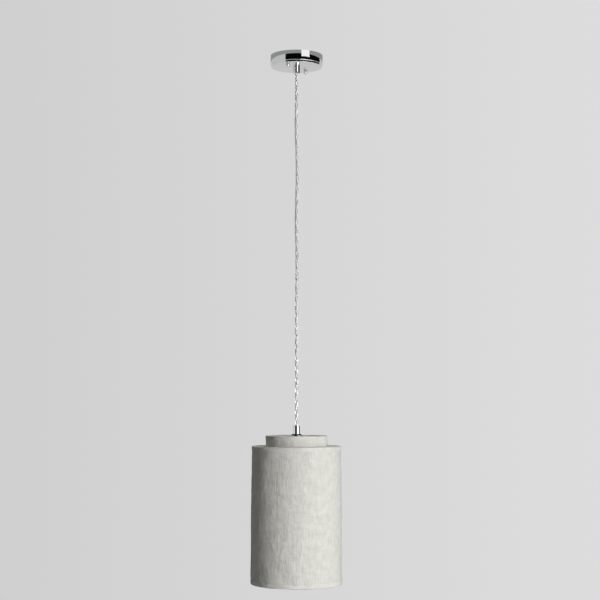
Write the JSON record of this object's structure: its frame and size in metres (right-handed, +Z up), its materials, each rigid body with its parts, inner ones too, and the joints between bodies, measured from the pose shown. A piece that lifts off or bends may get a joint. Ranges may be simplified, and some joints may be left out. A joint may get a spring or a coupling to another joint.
{
  "type": "pendant ceiling light",
  "caption": "Pendant ceiling light: chrome canopy on a swivel crossbar, clear round cord with bright cores, and a two-tier fabric drum shade round a screw-base bulb.",
  "frame": {"origin": "centre of the fixed crossbar's upper face, in the ceiling plane, where the bar is screwed to the ceiling box", "axes": "+Z up, out of the ceiling; +X along the fixed crossbar; -Y towards the viewer"},
  "size_m": [0.2192, 0.2192, 1.2758],
  "materials": {
    "chrome": "polished",
    "zinc_steel": "zinc plated",
    "ground_green": "dyed green",
    "clear_pvc": "clear gloss",
    "lead_black": "extruded",
    "lead_white": "extruded",
    "connector_shell": "moulded",
    "nylon": "moulded",
    "shade_fabric": "woven, matt",
    "frame_wire": "powder coated",
    "lampholder": "moulded phenolic",
    "brass": "stamped",
    "bulb_metal": "rolled",
    "bulb_black": "fired",
    "bulb_glass": "frosted",
    "solder": "soldered"
  },
  "bodies": {
    "root": {"crossbar_fixed": "zinc_steel", "crossbar_rivet": "zinc_steel"},
    "canopy": {"crossbar_swivel": "zinc_steel", "ground_screw": "ground_green", "canopy_stud_left": "zinc_steel", "canopy_stud_right": "zinc_steel", "stud_locknut_left": "zinc_steel", "stud_locknut_right": "zinc_steel", "ball_nut_left": "chrome", "ball_nut_right": "chrome", "canopy": "chrome", "canopy_grip": "chrome", "canopy_grip_screw": "nylon", "canopy_grip_washer": "zinc_steel", "canopy_grip_nut": "zinc_steel", "cord_tail": "clear_pvc", "line_lead": "lead_black", "neutral_lead": "lead_white", "wire_connector_line": "connector_shell", "wire_connector_neutral": "connector_shell"},
    "cord_neck": {"cord_neck": "clear_pvc"},
    "cord": {"cord": "clear_pvc"},
    "shade": {"shade_grip": "chrome", "shade_grip_screw": "nylon", "flange": "chrome", "stem": "zinc_steel", "stem_washer": "zinc_steel", "stem_nut": "zinc_steel", "shade_frame": "frame_wire", "lower_ring": "frame_wire", "top_cover": "shade_fabric", "upper_drum": "shade_fabric", "shoulder_cover": "shade_fabric", "lower_drum": "shade_fabric", "top_trim": "shade_fabric", "shoulder_trim": "shade_fabric", "bottom_trim": "shade_fabric", "socket_cap": "lampholder", "socket_body": "lampholder", "socket_insulator": "lampholder", "socket_shell": "brass", "socket_contact": "brass", "terminal_screw_line": "brass", "terminal_screw_neutral": "zinc_steel", "socket_wire_line": "lead_black", "socket_wire_neutral": "lead_white"},
    "bulb_tip": {"bulb_tip": "solder"},
    "bulb": {"bulb_insulator": "bulb_black", "bulb_base": "bulb_metal", "bulb_glass": "bulb_glass"}
  },
  "joints": [
    {"name": "canopy_swivel", "type": "hinge", "parent": "root", "child": "canopy", "pos_m": [0, 0, -0.0027], "axis": [0, 0, 1], "range_deg": [-44, 102]},
    {"name": "swing_side", "type": "hinge", "parent": "canopy", "child": "cord_neck", "pos_m": [0, 0, -0.044], "axis": [0, 1, 0], "range_deg": [-20, 20]},
    {"name": "swing_front", "type": "hinge", "parent": "cord_neck", "child": "cord", "pos_m": [0, 0, -0.054], "axis": [1, 0, 0], "range_deg": [-20, 20]},
    {"name": "shade_turn", "type": "hinge", "parent": "cord", "child": "shade", "pos_m": [0, 0, -0.9], "axis": [0, 0, 1], "range_deg": [-180, 180]},
    {"name": "bulb_travel", "type": "slide", "parent": "shade", "child": "bulb_tip", "axis": [0, 0, -1], "range_m": [0, 0.02]},
    {"name": "bulb_turn", "type": "hinge", "parent": "bulb_tip", "child": "bulb", "pos_m": [0, 0, -1.02], "axis": [0, 0, -1], "range_deg": [0, 1980]}
  ],
  "couplings": [
    {"joint": "bulb_travel", "follows": "bulb_turn", "m_per_rad": 0.00057757}
  ]
}
